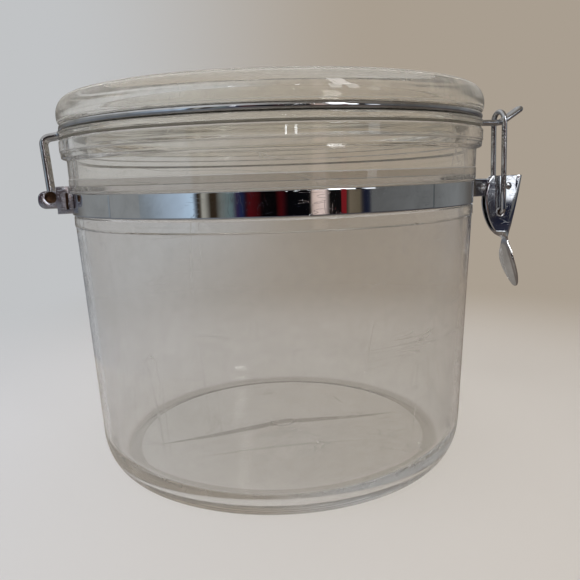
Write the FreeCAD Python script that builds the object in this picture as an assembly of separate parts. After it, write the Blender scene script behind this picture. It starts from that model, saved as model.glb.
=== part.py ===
import FreeCAD, Part
import math
import os

os.makedirs("parts", exist_ok=True)

V = FreeCAD.Vector

# Frame: origin at the centre of the base, +Z up, latch towards +X, hinge towards -X.

# ---- jar ----
rim_r = 100.4            # outer radius of the jar's rim and of the lid's lip
rim_top = 156.3
rim_bottom = 148.0
neck_r = 97.6            # plain neck between rim and band
seat_r = 95.6            # shallow seat that the band lies in
seat_low = 122.9
seat_high = 133.3
ledge_r = 96.5           # small ledge under the band
ledge_low = 118.3
foot_r = 80.2            # edge of the flat that the jar stands on
foot_h = 19.0            # height of the rounded foot
body_low_r = 91.6        # outer radius just above the foot
floor_top = 5.0
floor_r = 74.5           # the fillet to the wall starts here
floor_fillet = 14.0
floor_rise = 3.6         # the floor peaks at its gate mark
gate_r = 5.9

# ---- lid and gasket ----
lid_low = 157.4
lid_top = 175.0
shoulder_r = 94.5        # middle of the rounded shoulder
shoulder_z = 167.0
groove_z = 161.6
groove_r = 1.70
collar_r = 88.8          # short collar that centres the lid in the mouth
collar_low = 153.4
gasket_in = 89.4
gasket_out = 99.3
gasket_low = 156.4

# ---- wires ----
lid_wire_r = 1.55
ring_r = 98.45           # centre line of the wire ring round the lid
bail_wire_r = 1.45
bail_half = 4.95         # half the distance between the bail's legs

# ---- neck band ----
band_low = 123.2
band_high = 133.0
band_t = 0.8
band_in = 95.65
ear_bend = 18.0          # centre-line radius where the band turns out to the latch
ear_gap = 0.02           # half the gap between the clamped band ends
ear_round = 4.9

# ---- hinge ----
hinge_x = -105.5
hinge_z = 131.5
hinge_bore = 1.62
leg_y = 4.6              # legs of the lid wire stand this far from the middle plane
cheek_in = 6.55
cheek_t = 1.5
saddle_t = 0.6
saddle_half_angle = 33.5

# ---- latch ----
pivot_x = 134.8
pivot_z = 128.5
pivot_r = 1.30
pivot_bore = 1.36
clamp_x = 119.7
clamp_z = 128.2
clamp_r = 1.20
lever_in = 1.35          # inside of the lever's cheeks
lever_out = 2.35         # outside of the lever's cheeks
bail_x = 130.0
bail_z = 114.2
bail_bore = 1.52
bail_top_x = 129.2
bail_top_z = 163.7


def turned(points):
    """Solid of revolution about Z from (radius, height) points."""
    corners = [V(r, 0, z) for r, z in points]
    corners.append(corners[0])
    face = Part.Face(Part.makePolygon(corners))
    return face.revolve(V(0, 0, 0), V(0, 0, 1), 360)


def arc_points(cr, cz, wide, high, start, end, count):
    """Points along part of an ellipse in the (radius, height) plane, angles in degrees."""
    out = []
    for i in range(count + 1):
        a = math.radians(start + (end - start) * i / count)
        out.append((cr + wide * math.cos(a), cz + high * math.sin(a)))
    return out


def y_disc(x, z, radius, y0, y1):
    """Cylinder along Y from y0 to y1."""
    return Part.makeCylinder(radius, y1 - y0, V(x, y0, z), V(0, 1, 0))


def y_cone(x, z, r0, r1, y0, y1):
    """Cone along Y, radius r0 at y0 and r1 at y1."""
    if y1 < y0:
        return Part.makeCone(r0, r1, y0 - y1, V(x, y0, z), V(0, -1, 0))
    return Part.makeCone(r0, r1, y1 - y0, V(x, y0, z), V(0, 1, 0))


def both_sides(shape):
    """The shape with its mirror image across the middle plane, as one."""
    return shape.fuse(shape.mirror(V(0, 0, 0), V(0, 1, 0)))


def rounded_run(points, radii):
    """Straight runs through the points, joined by tangent arcs at the inner ones."""
    edges = []
    last = points[0]
    for i in range(1, len(points) - 1):
        corner = points[i]
        back = (points[i - 1] - corner).normalize()
        ahead = (points[i + 1] - corner).normalize()
        half = back.getAngle(ahead) / 2
        reach = radii[i - 1] / math.tan(half)
        a = corner + back * reach
        b = corner + ahead * reach
        middle = (back + ahead).normalize()
        centre = corner + middle * (radii[i - 1] / math.sin(half))
        m = centre - middle * radii[i - 1]
        edges.append(Part.LineSegment(last, a).toShape())
        edges.append(Part.Arc(a, m, b).toShape())
        last = b
    edges.append(Part.LineSegment(last, points[-1]).toShape())
    return edges


def mirrored(edges):
    """The edges across the middle plane, in the order of travel back."""
    return [e.mirror(V(0, 0, 0), V(0, 1, 0)) for e in reversed(edges)]


def tube(edges, radius, start, direction):
    """Round wire of the given radius along the edges."""
    path = Part.Wire(Part.__sortEdges__(edges))
    ring = Part.Wire(Part.makeCircle(radius, start, direction))
    return path.makePipeShell([ring], True, True)


def save(shape, name):
    shape = shape.removeSplitter()
    if shape.ShapeType != "Solid" and len(shape.Solids) == 1:
        shape = shape.Solids[0]
    shape.exportStep("parts/" + name + ".step")
    print(name, shape.isValid(), len(shape.Solids), round(shape.Volume, 1), shape.BoundBox)


# ---------------------------------------------------------------- jar

def jar_outside():
    """Outer profile from the middle of the base up to the rim."""
    points = [(0, 0)]
    points += arc_points(foot_r, foot_h, body_low_r - foot_r, foot_h, -90, -5, 12)
    points += [(96.1, ledge_low - 0.3)]
    points += [(ledge_r, ledge_low), (ledge_r, seat_low - 0.5), (seat_r + 0.3, seat_low)]
    points += [(seat_r, seat_low), (seat_r, seat_high), (neck_r - 0.7, seat_high + 0.1)]
    points += [(neck_r, seat_high + 0.8), (neck_r, rim_bottom - 0.8)]
    points += [(neck_r + 0.5, rim_bottom - 0.2), (rim_r - 1.2, rim_bottom)]
    points += [(rim_r - 0.5, rim_bottom + 0.5), (rim_r - 0.3, 151.0), (rim_r, 151.3)]
    points += [(rim_r, rim_top - 0.6), (rim_r - 0.6, rim_top)]
    return points


def jar_inside():
    """Inner profile from the mouth down to the middle of the floor."""
    points = [(95.0, rim_top), (94.4, rim_top - 0.6), (94.4, 136.0), (92.9, 132.5)]
    points += [(92.9, 118.0)]
    points += arc_points(floor_r, floor_top + floor_fillet, floor_fillet, floor_fillet, 0, -90, 14)
    points += [(r, floor_height(r)) for r in (70.0, 60.0, 50.0, 40.0, 30.0, 20.0, 12.0, gate_r)]
    gate_top = floor_height(gate_r) + 0.35
    points += [(gate_r, gate_top), (0, gate_top)]
    return points


def floor_height(r):
    """Top of the floor, which rises towards its middle."""
    return floor_top + floor_rise * (1 - r / 70.0) ** 1.7


def make_jar():
    return turned(jar_outside() + jar_inside())


# ---------------------------------------------------------------- lid

def make_lid():
    points = [(collar_r, lid_low), (rim_r - 0.7, lid_low), (rim_r - 0.3, lid_low + 0.4)]
    points += [(rim_r - 0.3, 158.7), (rim_r, 159.0), (rim_r, 159.6), (99.9, 159.95)]
    points += arc_points(ring_r, groove_z, groove_r, groove_r, -75, -285, 12)
    points += [(99.5, 163.45)]
    points += arc_points(shoulder_r, shoulder_z, 6.1, lid_top - shoulder_z, -20, 90, 12)
    points += [(92.4, lid_top), (91.2, 174.3), (90.3, 173.3), (89.2, 173.0), (0, 173.0)]
    points += [(0, 170.2), (89.0, 170.2), (91.5, 169.2), (92.8, 167.2), (93.0, 165.0)]
    points += [(93.0, 160.6), (86.6, 160.4), (86.2, collar_low + 0.4), (86.6, collar_low)]
    points += [(collar_r - 0.5, collar_low), (collar_r, collar_low + 0.5)]
    lid = turned(points)
    notch = Part.makeBox(6.5, 27.4, groove_z - lid_low + 1.5, V(-102.3, -13.7, lid_low - 0.5))
    keep = Part.makeBox(12.0, 30.0, 2.0, V(-104.0, -15.0, groove_z + groove_r))
    return lid.cut(notch.cut(keep))


def make_gasket():
    return turned([(gasket_in, gasket_low), (gasket_out - 0.4, gasket_low),
                   (gasket_out, gasket_low + 0.3), (gasket_out, lid_low - 0.3),
                   (gasket_out - 0.4, lid_low), (gasket_in, lid_low)])


def make_lid_wire():
    """One bent wire: hinge end, leg, arm, half ring, hook and back the same way."""
    ring_start = math.radians(190)
    ring_end = math.radians(354)
    s = V(ring_r * math.cos(ring_start), ring_r * math.sin(ring_start), groove_z)
    s_dir = V(math.sin(ring_start), -math.cos(ring_start), 0)
    e = V(ring_r * math.cos(ring_end), ring_r * math.sin(ring_end), groove_z)
    e_dir = V(-math.sin(ring_end), math.cos(ring_end), 0)
    hook_y = -1.6
    reach = (hook_y - e.y) / e_dir.y
    slope = math.radians(31.5)
    tip = V(141.9, 0, 170.4)
    turn = V(tip.x - 1.6 * math.cos(slope), hook_y, tip.z - 1.6 * math.sin(slope))
    hinge_run = [V(hinge_x, -8.15, hinge_z), V(hinge_x, -leg_y, hinge_z),
                 V(-107.05, -leg_y, 157.6), V(-98.8, -leg_y, 159.15), s + s_dir * 4.5, s]
    hook_run = [e, e + e_dir * reach, V(103.2, hook_y, groove_z), V(109.5, hook_y, 162.9),
                V(129.7, hook_y, 162.9), turn]
    near = rounded_run(hinge_run, [2.0, 3.2, 3.0, 8.0])
    near.append(Part.Arc(s, V(0, -ring_r, groove_z), e).toShape())
    near += rounded_run(hook_run, [2.8, 8.0, 8.0, 4.5])
    hairpin = Part.Arc(turn, tip, V(turn.x, -turn.y, turn.z)).toShape()
    edges = near + [hairpin] + mirrored(near)
    return tube(edges, lid_wire_r, hinge_run[0], V(0, 1, 0))


# ---------------------------------------------------------------- band and hinge bracket

def band_outline():
    """Plan outline of the band, with both ends turned out side by side."""
    mid = band_in + band_t / 2
    out = band_in + band_t
    end_x = pivot_x + ear_round
    lift = ear_gap + band_t / 2
    angle = math.asin((lift + ear_bend) / (mid + ear_bend))
    cx = (mid + ear_bend) * math.cos(angle)
    cy = lift + ear_bend

    def bend(radius, a, side):
        return V(cx - radius * math.sin(a), side * (cy - radius * math.cos(a)), 0)

    def arc(radius, a0, a1, side):
        return Part.Arc(bend(radius, a0, side), bend(radius, (a0 + a1) / 2, side),
                        bend(radius, a1, side)).toShape()

    full = math.pi / 2 - angle
    tight = ear_bend - band_t / 2
    loose = ear_bend + band_t / 2
    edges = []
    for side in (-1, 1):
        outer_y = side * (ear_gap + band_t)
        inner_y = side * ear_gap
        edges.append(Part.LineSegment(V(end_x, outer_y, 0), V(cx, outer_y, 0)).toShape())
        edges.append(arc(tight, 0, full, side))
        edges.append(Part.LineSegment(V(end_x, inner_y, 0), V(cx, inner_y, 0)).toShape())
        edges.append(arc(loose, 0, full, side))
        edges.append(Part.LineSegment(V(end_x, outer_y, 0), V(end_x, inner_y, 0)).toShape())
    for radius, reach in ((out, tight), (band_in, loose)):
        edges.append(Part.Arc(bend(reach, full, -1), V(-radius, 0, 0),
                              bend(reach, full, 1)).toShape())
    return Part.Face(Part.Wire(Part.__sortEdges__(edges)))


def make_band():
    height = band_high - band_low
    band = band_outline().extrude(V(0, 0, height))
    band.translate(V(0, 0, band_low))
    corner = Part.makeBox(12, 6, height + 2, V(pivot_x, -3, band_low - 1))
    middle = (band_low + band_high) / 2
    band = band.cut(corner.cut(y_disc(pivot_x, middle, ear_round, -3, 3)))
    band = band.cut(y_disc(pivot_x, pivot_z, pivot_r + 0.01, -3, 3))
    return band.cut(y_disc(clamp_x, clamp_z, clamp_r + 0.01, -3, 3))


def bracket_cheek():
    """One hinge cheek, on the near side: tall root, slot and rounded ear with its bore."""
    y0 = -(cheek_in + cheek_t)
    root = Part.makeBox(7.6, cheek_t + 0.25, 12.2, V(-103.1, y0 - 0.25, 124.0))
    step = Part.makeBox(4.0, 4.0, 4.0, V(-97.85, y0 - 1, band_high + 0.25))
    root = root.cut(step)
    slot = Part.makeBox(1.2, 4.0, 7.2, V(-99.3, y0 - 1, 126.0))
    root = root.cut(slot)
    ear = Part.makeBox(9.0, cheek_t, 8.0, V(-111.0, y0, 126.5))
    ends = [e for e in ear.Edges if abs(e.CenterOfMass.x + 111.0) < 0.01
            and abs(e.tangentAt(e.FirstParameter).y) > 0.9]
    ear = ear.makeFillet(3.4, ends)
    cheek = root.fuse(ear)
    cheek = cheek.cut(y_disc(hinge_x, hinge_z, hinge_bore, y0 - 1, -cheek_in + 1))
    return cheek.cut(y_cone(hinge_x, hinge_z, 2.6, 1.5, y0 - 0.001, y0 + 1.0))


def make_bracket():
    """Saddle strip on the outside of the band, carrying two cheeks with hinge ears."""
    out = band_in + band_t
    strip = turned([(out, band_low + 0.2), (out + saddle_t, band_low + 0.2),
                    (out + saddle_t, band_high - 0.2), (out, band_high - 0.2)])
    half = math.radians(saddle_half_angle)
    far = 130.0
    wedge = Part.makePolygon([V(0, 0, 0), V(-far * math.cos(half), -far * math.sin(half), 0),
                              V(-1.6 * far, 0, 0),
                              V(-far * math.cos(half), far * math.sin(half), 0), V(0, 0, 0)])
    sector = Part.Face(wedge).extrude(V(0, 0, 200))
    strip = strip.common(sector)
    inside = Part.makeCylinder(out, 40, V(0, 0, 110))
    cheeks = both_sides(bracket_cheek()).cut(inside)
    return strip.fuse(cheeks)


# ---------------------------------------------------------------- latch

def rivet(x, z, radius, head_r, face, head_h):
    """Shank across the middle plane with a domed head on each side."""
    body = y_disc(x, z, radius, -face - 0.1, face + 0.1)
    for side in (-1, 1):
        foot = y_disc(x, z, head_r, min(side * face, side * (face + 0.3)),
                      max(side * face, side * (face + 0.3)))
        dome = y_cone(x, z, head_r, head_r * 0.62, side * (face + 0.3), side * (face + head_h))
        body = body.fuse(foot).fuse(dome)
    return body


def spline(points):
    curve = Part.BSplineCurve()
    curve.interpolate([V(x, 0, z) for x, z in points])
    return curve.toShape()


def lever_outline(back, low):
    """Side outline of the lever's channel; back moves its outer edge in from the web."""
    left = [(125.2, 134.8), (123.0, 132.0), (121.9, 128.4), (121.0, 124.0), (120.8, 120.0),
            (121.5, 115.6), (123.3, 110.0), (126.2, 104.9), (129.4, 101.2), (132.6, low)]
    right = [(143.9 - back, 134.8), (142.6 - back, 127.5), (140.5 - back, 117.5),
             (138.2 - back, 107.5), (136.4 - back, low)]
    edges = [spline(left), spline(right)]
    edges.append(Part.LineSegment(V(125.2, 0, 134.8), V(143.9 - back, 0, 134.8)).toShape())
    edges.append(Part.LineSegment(V(132.6, 0, low), V(136.4 - back, 0, low)).toShape())
    return Part.Face(Part.Wire(Part.__sortEdges__(edges)))


def lever_channel():
    body = lever_outline(0.0, 98.6).extrude(V(0, 2 * lever_out, 0))
    body.translate(V(0, -lever_out, 0))
    bends = [e for e in body.Edges if e.Length > 20 and e.CenterOfMass.x > 136
             and abs(abs(e.CenterOfMass.y) - lever_out) < 0.01]
    body = body.makeFillet(1.2, bends)
    edge = [(142.85, 136.0), (141.55, 127.5), (139.45, 117.5), (137.15, 107.5), (136.0, 102.4)]
    cavity = [V(x, 0, z) for x, z in edge]
    cavity += [V(134.6, 0, 101.2), V(118.0, 0, 98.0), V(112.0, 0, 136.0)]
    cavity.append(cavity[0])
    hollow = Part.Face(Part.makePolygon(cavity)).extrude(V(0, 2 * lever_in, 0))
    hollow.translate(V(0, -lever_in, 0))
    return body.cut(hollow)


def lever_tab():
    """Leaf-shaped finger tab, bending outwards below the channel."""
    line = [(134.6, 101.5), (134.75, 98.5), (135.6, 94.5), (137.3, 88.5), (138.9, 84.0),
            (140.5, 79.2), (141.8, 74.8), (142.9, 70.3)]
    inner = spline([(x - 0.7, z) for x, z in line])
    outer = spline([(x + 0.7, z) for x, z in line])
    ends = [Part.LineSegment(V(x - 0.7, 0, z), V(x + 0.7, 0, z)).toShape()
            for x, z in (line[0], line[-1])]
    strip = Part.Face(Part.Wire(Part.__sortEdges__([inner, outer] + ends)))
    strip = strip.extrude(V(0, 16, 0))
    strip.translate(V(0, -8, 0))
    half = [(2.3, 101.6), (2.5, 98.5), (4.3, 94.5), (6.4, 89.5), (7.0, 84.5), (6.2, 79.5),
            (4.3, 74.8), (2.1, 71.6), (0.0, 70.6)]
    loop = [(-y, z) for y, z in half] + list(reversed(half[:-1]))
    curve = Part.BSplineCurve()
    curve.interpolate([V(110, y, z) for y, z in loop])
    top = Part.LineSegment(V(110, 2.3, 101.6), V(110, -2.3, 101.6)).toShape()
    leaf = Part.Face(Part.Wire(Part.__sortEdges__([curve.toShape(), top])))
    return strip.common(leaf.extrude(V(50, 0, 0)))


def make_lever():
    lever = lever_channel().fuse(lever_tab())
    for side in (-1, 1):
        y0 = min(side * (lever_out - 0.3), side * (lever_out + 0.3))
        y1 = max(side * (lever_out - 0.3), side * (lever_out + 0.3))
        lever = lever.fuse(y_disc(bail_x, bail_z, 2.7, y0, y1))
    lever = lever.cut(y_disc(bail_x, bail_z, bail_bore, -4, 4))
    return lever.cut(y_disc(pivot_x, pivot_z, pivot_bore, -4, 4))


def make_bail():
    """Wire loop: ends turned into the lever, two legs and a round arch over the hook."""
    foot = V(bail_x, -bail_half, bail_z)
    top = V(bail_top_x, -bail_half, bail_top_z)
    up = V(bail_top_x - bail_x, 0, bail_top_z - bail_z).normalize()
    crown = V(bail_top_x, 0, bail_top_z) + up * bail_half
    near = rounded_run([V(bail_x, -1.1, bail_z), foot, top], [1.9])
    arch = Part.Arc(top, crown, V(top.x, bail_half, top.z)).toShape()
    edges = near + [arch] + mirrored(near)
    return tube(edges, bail_wire_r, V(bail_x, -1.1, bail_z), V(0, -1, 0))


save(make_jar(), "jar")
save(make_lid(), "lid")
save(make_gasket(), "gasket")
save(make_lid_wire(), "lid_wire")
save(make_band(), "neck_band")
save(make_bracket(), "hinge_bracket")
save(rivet(clamp_x, clamp_z, clamp_r, 1.85, ear_gap + band_t, 0.75), "clamp_rivet")
save(rivet(pivot_x, pivot_z, pivot_r, 1.95, lever_out + 0.05, 0.75), "pivot_rivet")
save(make_lever(), "lever")
save(make_bail(), "bail")
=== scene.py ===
import math

import bmesh
import bpy
from mathutils import Matrix, Vector


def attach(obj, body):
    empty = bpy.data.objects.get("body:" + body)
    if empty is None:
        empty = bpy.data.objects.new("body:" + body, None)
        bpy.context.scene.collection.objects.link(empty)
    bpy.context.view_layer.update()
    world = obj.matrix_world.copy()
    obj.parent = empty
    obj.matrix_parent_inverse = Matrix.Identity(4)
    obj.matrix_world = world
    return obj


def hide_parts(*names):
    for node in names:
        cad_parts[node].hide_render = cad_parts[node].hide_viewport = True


# Row frame in metres: origin at the centre of the base, +Z up, latch +X, hinge -X.
# The builders below take millimetres, the unit of the drawings, and scale once.

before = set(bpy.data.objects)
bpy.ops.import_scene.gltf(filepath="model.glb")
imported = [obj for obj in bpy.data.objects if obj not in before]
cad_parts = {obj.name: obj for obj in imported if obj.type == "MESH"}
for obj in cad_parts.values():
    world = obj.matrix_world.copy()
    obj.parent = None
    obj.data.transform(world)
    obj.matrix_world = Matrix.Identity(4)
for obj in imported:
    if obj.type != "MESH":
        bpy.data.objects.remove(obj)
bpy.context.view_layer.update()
MM = 0.001
scene = bpy.context.scene


# ---------------------------------------------------------------- node helpers

def linear(*rgb):
    """0-255 display colour as linear light."""
    out = []
    for c in rgb:
        c = c / 255.0
        out.append(c / 12.92 if c <= 0.04045 else ((c + 0.055) / 1.055) ** 2.4)
    return out


class Nodes:
    """Short way to add nodes and links to one tree."""

    def __init__(self, tree):
        self.tree = tree
        tree.nodes.clear()

    def add(self, kind, **values):
        node = self.tree.nodes.new(kind)
        for key, value in values.items():
            setattr(node, key, value)
        return node

    def link(self, source, target):
        self.tree.links.new(source, target)

    def math(self, operation, a, b=None, clamp=False):
        node = self.add("ShaderNodeMath", operation=operation, use_clamp=clamp)
        for socket, value in zip(node.inputs, (a, b)):
            if isinstance(value, (int, float)):
                socket.default_value = value
            elif value is not None:
                self.link(value, socket)
        return node.outputs[0]

    def noise(self, vector, scale, detail=2.0, rough=0.5, distortion=0.0):
        node = self.add("ShaderNodeTexNoise")
        node.inputs["Scale"].default_value = scale
        node.inputs["Detail"].default_value = detail
        node.inputs["Roughness"].default_value = rough
        node.inputs["Distortion"].default_value = distortion
        self.link(vector, node.inputs["Vector"])
        return node.outputs["Fac"]

    def stretch(self, vector, scale, turn=(0, 0, 0)):
        node = self.add("ShaderNodeMapping")
        node.inputs["Scale"].default_value = scale
        node.inputs["Rotation"].default_value = turn
        self.link(vector, node.inputs["Vector"])
        return node.outputs[0]

    def step(self, value, low, high, to_low=0.0, to_high=1.0):
        node = self.add("ShaderNodeMapRange", interpolation_type="SMOOTHSTEP")
        node.inputs["From Min"].default_value = low
        node.inputs["From Max"].default_value = high
        node.inputs["To Min"].default_value = to_low
        node.inputs["To Max"].default_value = to_high
        self.link(value, node.inputs["Value"])
        return node.outputs["Result"]

    def mix(self, factor, a, b):
        node = self.add("ShaderNodeMix", data_type="RGBA")
        if isinstance(factor, (int, float)):
            node.inputs[0].default_value = factor
        else:
            self.link(factor, node.inputs[0])
        for socket, value in ((node.inputs[6], a), (node.inputs[7], b)):
            if isinstance(value, (list, tuple)):
                socket.default_value = (*value[:3], 1.0)
            else:
                self.link(value, socket)
        return node.outputs[2]

    def hairlines(self, vector, scale, turn, width, spread, amount):
        """Thin, long, sparse scratches: where a stretched noise crosses its middle value."""
        long = self.stretch(vector, scale, turn)
        wave = self.noise(long, 1.0, 1.5, 0.4, 0.3)
        away = self.math("ABSOLUTE", self.math("SUBTRACT", wave, 0.5))
        line = self.step(away, 0.0, width, 1.0, 0.0)
        patch = self.step(self.noise(vector, spread, 1.0), 0.60 - amount, 0.66 - amount)
        return self.math("MULTIPLY", line, patch)

    def bump(self, height, strength, distance, normal=None):
        node = self.add("ShaderNodeBump")
        node.inputs["Strength"].default_value = strength
        node.inputs["Distance"].default_value = distance
        self.link(height, node.inputs["Height"])
        if normal is not None:
            self.link(normal, node.inputs["Normal"])
        return node.outputs[0]


def new_material(name):
    material = bpy.data.materials.new(name)
    material.use_nodes = True
    return material, Nodes(material.node_tree)


# ---------------------------------------------------------------- materials

def between_heights(n, place, low, high, soft=0.0004):
    """1 between two heights of the piece, with soft ends."""
    sep = n.add("ShaderNodeSeparateXYZ")
    n.link(place, sep.inputs[0])
    up = n.step(sep.outputs[2], low - soft, low)
    down = n.step(sep.outputs[2], high, high + soft, 1.0, 0.0)
    return n.math("MULTIPLY", up, down)


def clear_plastic(name, tint, edge, haze=0.035, painted_floor_and_neck_light=False, sheen_ledges=(), ior=1.49,
                  dust_and_sheen_tone=(178, 176, 173)):
    """Clear moulded plastic: slightly smoky, hairline scratches, faint moulding waves."""
    material, n = new_material(name)
    place = n.add("ShaderNodeTexCoord").outputs["Object"]
    body = n.add("ShaderNodeBsdfPrincipled")
    body.inputs["IOR"].default_value = ior
    body.inputs["Transmission Weight"].default_value = 1.0
    body.inputs["Specular IOR Level"].default_value = 0.5

    cloud = n.noise(place, 14.0, 3.0)
    colour = n.mix(n.step(cloud, 0.3, 0.7), tint, edge)
    # Painted light and shade on the jar: a darker corner ring, dark crease lines, a darker neck band and a
    # whitened neck band.
    if painted_floor_and_neck_light:
        # Painted shade in the corner ring where the floor meets the wall.
        colour = n.mix(corner_ring(n, place), colour, linear(192, 189, 184))
        # Painted shade along the floor's creases.
        colour = n.mix(n.math("MULTIPLY", floor_creases(n, place), 0.9), colour, linear(148, 144, 138))
        # Painted shade: a darker band on the neck from 134.5 to 138.8 mm, just above the neck band.
        colour = n.mix(n.math("MULTIPLY", between_heights(n, place, 0.1345, 0.1388), 0.35), colour,
                       linear(196, 188, 176))
        # Painted light: the neck from 139.3 to 158 mm is whitened.
        colour = n.mix(n.math("MULTIPLY", between_heights(n, place, 0.1393, 0.1580), 0.55), colour,
                       linear(255, 253, 248))
    n.link(colour, body.inputs["Base Color"])

    up = n.hairlines(place, (34, 34, 5), (0.10, 0.06, 0), 0.0045, 22.0, 0.02)
    slant = n.hairlines(place, (60, 60, 12), (0.9, 0.4, 0.3), 0.0030, 35.0, 0.03)
    round_about = n.hairlines(place, (9, 9, 120), (0.02, 0.03, 0), 0.0035, 27.0, 0.02)
    marks = n.math("MAXIMUM", n.math("MAXIMUM", up, slant), round_about)
    smear = n.step(n.noise(n.stretch(place, (1, 1, 0.5)), 46.0, 4.0, 0.65), 0.45, 0.8)
    rough = n.math("ADD", n.math("MULTIPLY", smear, 0.05), 0.012)
    n.link(n.math("ADD", rough, n.math("MULTIPLY", marks, 0.25)), body.inputs["Roughness"])

    wave = n.noise(n.stretch(place, (5, 5, 18)), 1.0, 1.0)
    soft = n.bump(wave, 0.35, 0.0004)
    n.link(n.bump(marks, 0.25, 0.00005, soft), body.inputs["Normal"])

    # Diffuse layer: real dust and haze, and painted highlights along the ledges.
    dust_and_sheen = n.add("ShaderNodeBsdfDiffuse")
    dust_and_sheen.inputs["Color"].default_value = (*linear(*dust_and_sheen_tone), 1)
    veil_and_sheen = n.step(n.noise(place, 90.0, 5.0, 0.7), 0.35, 0.75, haze * 0.5, haze * 1.6)
    veil_and_sheen = n.math("ADD", veil_and_sheen, n.math("MULTIPLY", marks, 0.15))
    # Painted highlights: the veil is thickened along each ledge height to draw a thin light line.
    for height in sheen_ledges:
        line = between_heights(n, place, height - 0.00016, height + 0.00016, 0.00012)
        veil_and_sheen = n.math("ADD", veil_and_sheen, n.math("MULTIPLY", line, 0.55))
    haze_and_sheen = n.add("ShaderNodeMixShader")
    n.link(veil_and_sheen, haze_and_sheen.inputs[0])
    n.link(body.outputs[0], haze_and_sheen.inputs[1])
    n.link(dust_and_sheen.outputs[0], haze_and_sheen.inputs[2])

    path = n.add("ShaderNodeLightPath")
    through = n.math("MAXIMUM", path.outputs["Is Shadow Ray"], path.outputs["Is Diffuse Ray"])
    open_side = n.add("ShaderNodeBsdfTransparent")
    open_side.inputs["Color"].default_value = (0.985, 0.985, 0.98, 1)
    both = n.add("ShaderNodeMixShader")
    n.link(through, both.inputs[0])
    n.link(haze_and_sheen.outputs[0], both.inputs[1])
    n.link(open_side.outputs[0], both.inputs[2])
    n.link(both.outputs[0], n.add("ShaderNodeOutputMaterial").inputs[0])
    return material


def spindle(n, place, start, end, width):
    """Long thin mark on the floor between two points, widest in the middle."""
    sep = n.add("ShaderNodeSeparateXYZ")
    n.link(place, sep.inputs[0])
    length = math.dist(start, end)
    ux = (end[0] - start[0]) / length
    uy = (end[1] - start[1]) / length
    px = n.math("SUBTRACT", sep.outputs[0], start[0])
    py = n.math("SUBTRACT", sep.outputs[1], start[1])
    along = n.math("ADD", n.math("MULTIPLY", px, ux), n.math("MULTIPLY", py, uy))
    aside = n.math("SUBTRACT", n.math("MULTIPLY", px, uy), n.math("MULTIPLY", py, ux))
    t = n.math("DIVIDE", along, length)
    swell = n.math("MULTIPLY", n.math("MULTIPLY", t, n.math("SUBTRACT", 1.0, t)), 4.0, True)
    rag = n.math("ADD", n.math("MULTIPLY", n.noise(place, 160.0, 2.0), 0.8), 0.6)
    limit = n.math("MULTIPLY", n.math("MULTIPLY", swell, width), rag)
    share = n.math("DIVIDE", n.math("ABSOLUTE", aside), n.math("ADD", limit, 1e-6))
    line = n.step(share, 0.55, 1.0, 1.0, 0.0)
    low = n.step(sep.outputs[2], 0.0094, 0.0098, 1.0, 0.0)
    high = n.step(sep.outputs[2], 0.0038, 0.0042)
    return n.math("MULTIPLY", line, n.math("MULTIPLY", low, high))


def floor_creases(n, place):
    """Dark line along a crease across the jar's floor, with a fainter one beside it: painted shade of the
    crease.
    """
    first = spindle(n, place, (-0.067, -0.0005), (0.067, -0.002), 0.0036)
    second = spindle(n, place, (-0.052, -0.022), (0.037, -0.032), 0.0013)
    return n.math("MAXIMUM", first, n.math("MULTIPLY", second, 0.4))


def corner_ring(n, place):
    """The ring where the floor turns up into the wall, between two fine rims: painted shade in that corner."""
    sep = n.add("ShaderNodeSeparateXYZ")
    n.link(place, sep.inputs[0])
    flat = n.add("ShaderNodeCombineXYZ")
    n.link(sep.outputs[0], flat.inputs[0])
    n.link(sep.outputs[1], flat.inputs[1])
    reach = n.add("ShaderNodeVectorMath", operation="LENGTH")
    n.link(flat.outputs[0], reach.inputs[0])
    r = reach.outputs["Value"]
    band = n.math("MULTIPLY", n.step(r, 0.0738, 0.0744), n.step(r, 0.0795, 0.0822, 1.0, 0.0))
    low = n.step(sep.outputs[2], 0.0085, 0.0095, 1.0, 0.0)
    high = n.step(sep.outputs[2], 0.0030, 0.0040)
    return n.math("MULTIPLY", band, n.math("MULTIPLY", low, high))


def painted_groove_shade(n, place):
    """Painted shade along both edges of the wire ring, where it lies in the lid's groove."""
    sep = n.add("ShaderNodeSeparateXYZ")
    n.link(place, sep.inputs[0])
    off = n.math("ABSOLUTE", n.math("SUBTRACT", sep.outputs[2], 0.1616))
    edge = n.step(off, 0.00085, 0.00125)
    ring = n.step(off, 0.0016, 0.0017, 1.0, 0.0)
    inside = n.step(n.math("ABSOLUTE", sep.outputs[0]), 0.1000, 0.1008, 1.0, 0.0)
    return n.math("MULTIPLY", edge, n.math("MULTIPLY", ring, inside))


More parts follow.
